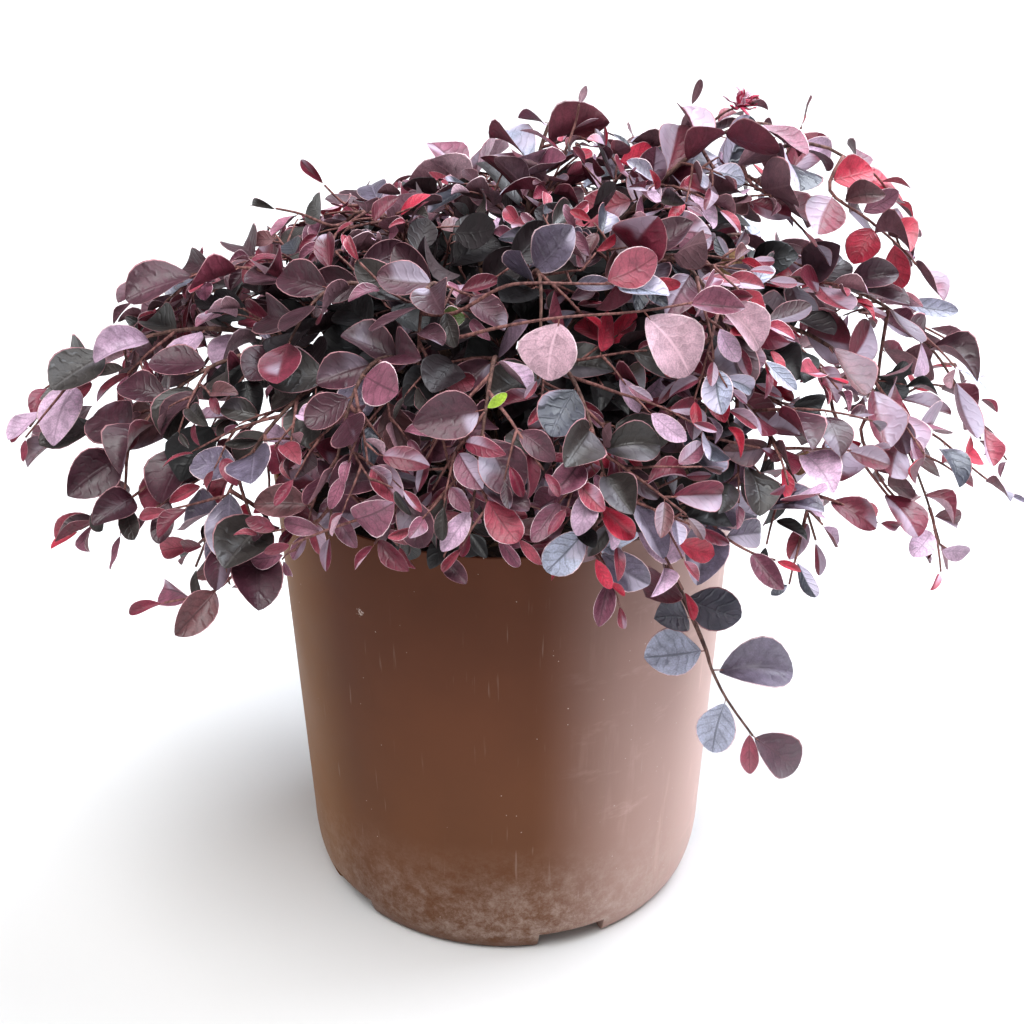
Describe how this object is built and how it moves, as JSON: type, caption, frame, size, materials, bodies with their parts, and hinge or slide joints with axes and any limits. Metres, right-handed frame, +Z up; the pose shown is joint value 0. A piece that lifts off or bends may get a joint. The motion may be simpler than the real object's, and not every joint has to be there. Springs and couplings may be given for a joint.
{
  "type": "potted chinese fringe flower shrub",
  "caption": "Low arching purple-leaved evergreen shrub in a round tapered nursery pot: short trunk, boughs and leafy masses that spill over the pot's rim.",
  "frame": {"origin": "centre of the flat underside of the pot, on the level surface it stands on", "axes": "+Z up along the pot's axis; -Y is the front, the side the picture is taken from; +X is to the right in that view"},
  "size_m": [0.4955, 0.3544, 0.4059],
  "materials": {
    "pot_plastic": "dull brown moulded plastic, lightly scratched and dusted with pale lime near its foot",
    "potting_mix": "dark, damp shredded bark",
    "bark": "rough brown bark, reddish on young twigs",
    "foliage": "satin leaves from dark plum to crimson, with paler mauve undersides"
  },
  "bodies": {
    "root": {"bough_back": "bark", "bough_back_brow": "bark", "bough_back_left": "bark", "bough_back_right": "bark", "bough_back_shoulder": "bark", "bough_back_top": "bark", "bough_front": "bark", "bough_front_brow": "bark", "bough_front_left": "bark", "bough_front_right": "bark", "bough_front_top": "bark", "bough_hanging": "bark", "bough_left_back": "bark", "bough_left_brow": "bark", "bough_left_front": "bark", "bough_left_low": "bark", "bough_left_shoulder": "bark", "bough_left_tip": "bark", "bough_right_back": "bark", "bough_right_brow": "bark", "bough_right_front": "bark", "bough_right_low": "bark", "bough_right_shoulder": "bark", "bough_right_tip": "bark", "bough_top": "bark", "bough_top_left": "bark", "bough_top_right": "bark", "foliage_back": "foliage", "foliage_back_brow": "foliage", "foliage_back_left": "foliage", "foliage_back_right": "foliage", "foliage_back_shoulder": "foliage", "foliage_back_top": "foliage", "foliage_front": "foliage", "foliage_front_brow": "foliage", "foliage_front_left": "foliage", "foliage_front_right": "foliage", "foliage_front_top": "foliage", "foliage_hanging": "foliage", "foliage_left_back": "foliage", "foliage_left_brow": "foliage", "foliage_left_front": "foliage", "foliage_left_low": "foliage", "foliage_left_shoulder": "foliage", "foliage_left_tip": "foliage", "foliage_right_back": "foliage", "foliage_right_brow": "foliage", "foliage_right_front": "foliage", "foliage_right_low": "foliage", "foliage_right_shoulder": "foliage", "foliage_right_tip": "foliage", "foliage_top": "foliage", "foliage_top_left": "foliage", "foliage_top_right": "foliage", "pot": "pot_plastic", "potting_mix": "potting_mix", "trunk": "bark"}
  },
  "joints": []
}
